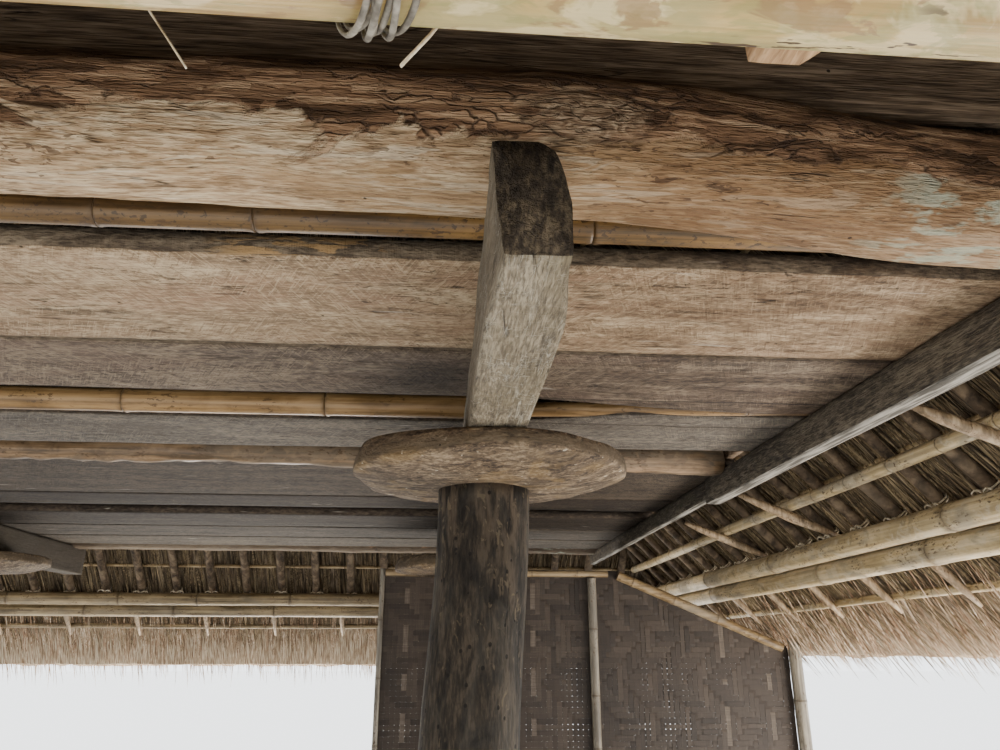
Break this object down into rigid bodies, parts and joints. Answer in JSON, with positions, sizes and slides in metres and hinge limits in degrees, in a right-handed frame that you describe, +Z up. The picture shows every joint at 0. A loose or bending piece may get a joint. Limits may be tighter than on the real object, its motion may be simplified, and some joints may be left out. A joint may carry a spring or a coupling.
{
  "type": "raised granary",
  "caption": "Raised timber granary: posts with rat-guard discs carry girders, hewn logs and a plank floor under a low hipped thatch roof on bamboo poles.",
  "frame": {"origin": "middle of the four posts at ground level", "axes": "+X to the right along the front, +Y from the front to the back, +Z up"},
  "size_m": [7.8474, 8.0574, 5.5086],
  "materials": {
    "post_wood": "dark weathered hardwood, rough, with insect holes",
    "disc_wood": "weathered hewn hardwood with a darker rim",
    "girder_wood": "hewn hardwood, pale underneath and dark at its ends",
    "log_wood": "hewn log, reddish rough face and pale underside",
    "beam_wood": "weathered squared wood, dark side and pale grey underside",
    "plank_wood": "hewn plank with adze marks",
    "floor_bamboo": "golden dry bamboo with dark specks",
    "sill_wood": "smoke-darkened board",
    "rafter_wood": "smoke-darkened round poles",
    "batten_bamboo": "split bamboo battens",
    "eave_bamboo": "pale dry bamboo with nodes",
    "thatch": "dry grass thatch",
    "cap_thatch": "dry grass thatch, bound over the ridge",
    "woven_bamboo": "woven split bamboo, aged brown",
    "wall_bamboo": "dry bamboo poles"
  },
  "bodies": {
    "root": {"post_front_left": "post_wood", "post_front_right": "post_wood", "post_back_left": "post_wood", "post_back_right": "post_wood", "disc_front_left": "disc_wood", "disc_front_right": "disc_wood", "disc_back_left": "disc_wood", "disc_back_right": "disc_wood", "girder_left": "girder_wood", "girder_right": "girder_wood", "front_log": "log_wood", "back_log": "log_wood", "edge_beam_left": "beam_wood", "edge_beam_right": "beam_wood", "floor_plank_1": "plank_wood", "floor_plank_2": "plank_wood", "floor_plank_3": "plank_wood", "floor_plank_4": "plank_wood", "floor_plank_5": "plank_wood", "floor_plank_6": "plank_wood", "floor_plank_7": "plank_wood", "floor_plank_8": "plank_wood", "floor_poles": "floor_bamboo", "sill_front": "sill_wood", "sill_back": "sill_wood", "sill_left": "sill_wood", "sill_right": "sill_wood", "rafters_front": "rafter_wood", "rafters_right": "rafter_wood", "rafters_back": "rafter_wood", "rafters_left": "rafter_wood", "ridge_and_hips": "rafter_wood", "battens": "batten_bamboo", "eave_poles_front": "eave_bamboo", "eave_poles_right": "eave_bamboo", "eave_poles_back": "eave_bamboo", "eave_poles_left": "eave_bamboo", "thatch_front": "thatch", "thatch_right": "thatch", "thatch_back": "thatch", "thatch_left": "thatch", "ridge_cap": "cap_thatch", "woven_wall": "woven_bamboo", "wall_posts": "wall_bamboo", "wall_rails": "wall_bamboo"}
  },
  "joints": []
}
